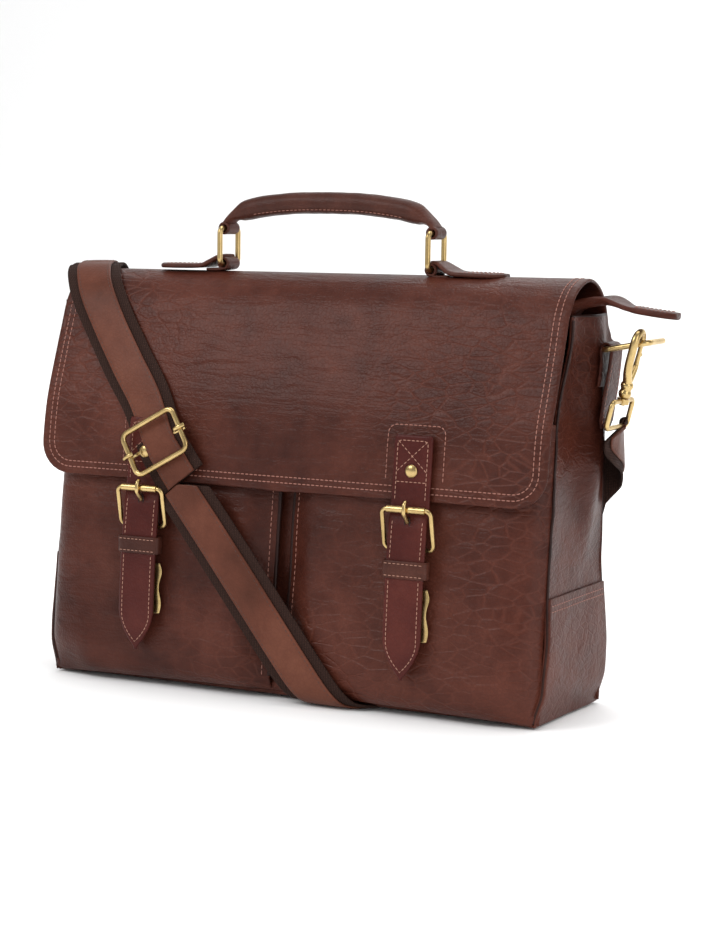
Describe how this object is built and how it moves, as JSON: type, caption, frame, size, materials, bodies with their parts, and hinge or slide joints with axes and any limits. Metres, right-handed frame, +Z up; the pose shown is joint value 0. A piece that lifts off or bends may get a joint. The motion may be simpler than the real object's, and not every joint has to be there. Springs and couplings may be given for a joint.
{
  "type": "leather briefcase",
  "caption": "Soft leather briefcase with a full front flap, buckled closing straps, front pockets, ring-hung top handle and a shoulder strap hooked to side rings.",
  "frame": {"origin": "middle of the flat base, on the surface the case stands on", "axes": "+X to the right when the front is seen face on, -Y towards the front, +Z up"},
  "size_m": [0.5089, 0.1599, 0.3625],
  "materials": {
    "leather": "satin",
    "dark_leather": "satin",
    "strap_leather": "satin",
    "webbing": "matte",
    "lining_cloth": "matte",
    "board": "matte",
    "brass": "satin"
  },
  "bodies": {
    "case": {"bottom_panel": "leather", "base_board": "board", "front_panel": "leather", "back_panel": "leather", "gusset_left": "dark_leather", "gusset_right": "dark_leather", "lining": "lining_cloth", "gusset_patch_left": "leather", "gusset_patch_right": "leather", "pocket_left": "leather", "pocket_right": "leather", "side_tab_left": "strap_leather", "side_tab_right": "strap_leather", "zip_binding": "strap_leather", "zip_tail": "strap_leather", "catch_left": "brass", "catch_right": "brass", "strap_front_lower": "webbing", "strap_underneath": "webbing", "strap_back_run": "webbing", "strap_end_right": "webbing", "strap_end_left": "webbing", "hook_loop_left": "brass", "hook_loop_right": "brass"},
    "flap_body": {"flap": "leather", "flap_lining": "lining_cloth", "handle_base_left": "strap_leather", "handle_base_right": "strap_leather", "closing_strap_left": "strap_leather", "closing_strap_right": "strap_leather", "strap_rivet_left": "brass", "strap_rivet_right": "brass", "chape_left": "dark_leather", "chape_right": "dark_leather", "keeper_left": "strap_leather", "keeper_right": "strap_leather", "buckle_frame_left": "brass", "buckle_frame_right": "brass", "strap_over_flap": "webbing"},
    "front_leaf": {"zip_leaf_front": "lining_cloth"},
    "back_leaf": {"zip_leaf_back": "lining_cloth"},
    "zip_runner": {"zip_slider": "brass"},
    "zip_grip": {"zip_pull": "brass"},
    "roller_left": {"buckle_roller_left": "brass"},
    "roller_right": {"buckle_roller_right": "brass"},
    "prong_left": {"buckle_prong_left": "brass"},
    "prong_right": {"buckle_prong_right": "brass"},
    "clip_left": {"clip_lever_left": "brass"},
    "clip_right": {"clip_lever_right": "brass"},
    "slider": {"strap_slider": "brass"},
    "ring_left": {"handle_ring_left": "brass"},
    "ring_right": {"handle_ring_right": "brass"},
    "handle": {"handle_cover": "strap_leather", "handle_core": "lining_cloth"},
    "d_ring_left": {"side_ring_left": "brass"},
    "d_ring_right": {"side_ring_right": "brass"},
    "hook_left": {"snap_hook_left": "brass"},
    "hook_right": {"snap_hook_right": "brass"},
    "gate_left": {"hook_gate_left": "brass"},
    "gate_right": {"hook_gate_right": "brass"}
  },
  "joints": [
    {"name": "flap_hinge", "type": "hinge", "parent": "case", "child": "flap_body", "pos_m": [0, 0.0434, 0.2626], "axis": [-1, 0, 0], "range_deg": [0, 105], "deforming": ["strap_end_left"]},
    {"name": "zip_open", "type": "slide", "parent": "case", "child": "zip_runner", "axis": [1, 0, 0], "range_m": [0, 0.33]},
    {"name": "zip_fold_front", "type": "hinge", "parent": "case", "child": "front_leaf", "pos_m": [0, -0.02046, 0.264], "axis": [-1, 0, 0], "range_deg": [0, 80]},
    {"name": "zip_fold_back", "type": "hinge", "parent": "case", "child": "back_leaf", "pos_m": [0, 0.0355, 0.264], "axis": [1, 0, 0], "range_deg": [0, 80]},
    {"name": "zip_pull_swing", "type": "hinge", "parent": "zip_runner", "child": "zip_grip", "pos_m": [-0.158, 0.008, 0.2694], "axis": [0, 1, 0], "range_deg": [0, 70]},
    {"name": "roller_spin_left", "type": "hinge", "parent": "flap_body", "child": "roller_left", "pos_m": [-0.112, -0.073, 0.147], "axis": [1, 0, 0], "continuous": true},
    {"name": "prong_swing_left", "type": "hinge", "parent": "flap_body", "child": "prong_left", "pos_m": [-0.112, -0.0674, 0.119], "axis": [1, 0, 0], "range_deg": [0, 8]},
    {"name": "clip_press_left", "type": "hinge", "parent": "flap_body", "child": "clip_left", "pos_m": [-0.112, -0.07, 0.082], "axis": [-1, 0, 0], "range_deg": [0, 4], "stiffness_Nm_per_rad": 0.3},
    {"name": "roller_spin_right", "type": "hinge", "parent": "flap_body", "child": "roller_right", "pos_m": [0.105, -0.073, 0.147], "axis": [1, 0, 0], "continuous": true},
    {"name": "prong_swing_right", "type": "hinge", "parent": "flap_body", "child": "prong_right", "pos_m": [0.105, -0.0674, 0.119], "axis": [1, 0, 0], "range_deg": [0, 8]},
    {"name": "clip_press_right", "type": "hinge", "parent": "flap_body", "child": "clip_right", "pos_m": [0.105, -0.07, 0.082], "axis": [-1, 0, 0], "range_deg": [0, 4], "stiffness_Nm_per_rad": 0.3},
    {"name": "strap_length", "type": "slide", "parent": "flap_body", "child": "slider", "axis": [-0.4842, 0.0909, 0.8702], "range_m": [0, 0.03]},
    {"name": "ring_left_swing", "type": "hinge", "parent": "flap_body", "child": "ring_left", "pos_m": [-0.0855, 0.006, 0.3091], "axis": [0, 1, 0], "range_deg": [-50, 50]},
    {"name": "handle_level", "type": "hinge", "parent": "ring_left", "child": "handle", "pos_m": [-0.0855, 0.006, 0.3351], "axis": [0, 1, 0], "range_deg": [-50, 50]},
    {"name": "ring_right_swing", "type": "hinge", "parent": "flap_body", "child": "ring_right", "pos_m": [0.0855, 0.006, 0.3091], "axis": [0, 1, 0], "range_deg": [-50, 50]},
    {"name": "side_ring_swing_left", "type": "hinge", "parent": "case", "child": "d_ring_left", "pos_m": [-0.216, 0.018, 0.258], "axis": [0, 1, 0], "range_deg": [-3, 3]},
    {"name": "side_ring_swing_right", "type": "hinge", "parent": "case", "child": "d_ring_right", "pos_m": [0.216, 0.018, 0.258], "axis": [0, 1, 0], "range_deg": [-3, 3]},
    {"name": "hook_swivel_left", "type": "hinge", "parent": "case", "child": "hook_left", "pos_m": [-0.22011, 0.034, 0.27449], "axis": [0, -0.7071, 0.7071], "range_deg": [-5, 5]},
    {"name": "hook_swivel_right", "type": "hinge", "parent": "case", "child": "hook_right", "pos_m": [0.24201, 0.002, 0.26306], "axis": [0.2419, 0, 0.9703], "range_deg": [-5, 5]},
    {"name": "gate_press_left", "type": "hinge", "parent": "hook_left", "child": "gate_left", "pos_m": [-0.21291, 0.04425, 0.26424], "axis": [0, -0.7071, -0.7071], "range_deg": [0, 10], "stiffness_Nm_per_rad": 0.05},
    {"name": "gate_press_right", "type": "hinge", "parent": "hook_right", "child": "gate_right", "pos_m": [0.2385, 0.0092, 0.24899], "axis": [0.9703, 0, -0.2419], "range_deg": [0, 10], "stiffness_Nm_per_rad": 0.05}
  ],
  "couplings": [
    {"joint": "zip_fold_front", "follows": "zip_open", "rad_per_m": 4.2269},
    {"joint": "zip_fold_back", "follows": "zip_open", "rad_per_m": 4.2269},
    {"joint": "handle_level", "follows": "ring_left_swing", "ratio": -1},
    {"joint": "ring_right_swing", "follows": "ring_left_swing", "ratio": 1}
  ]
}
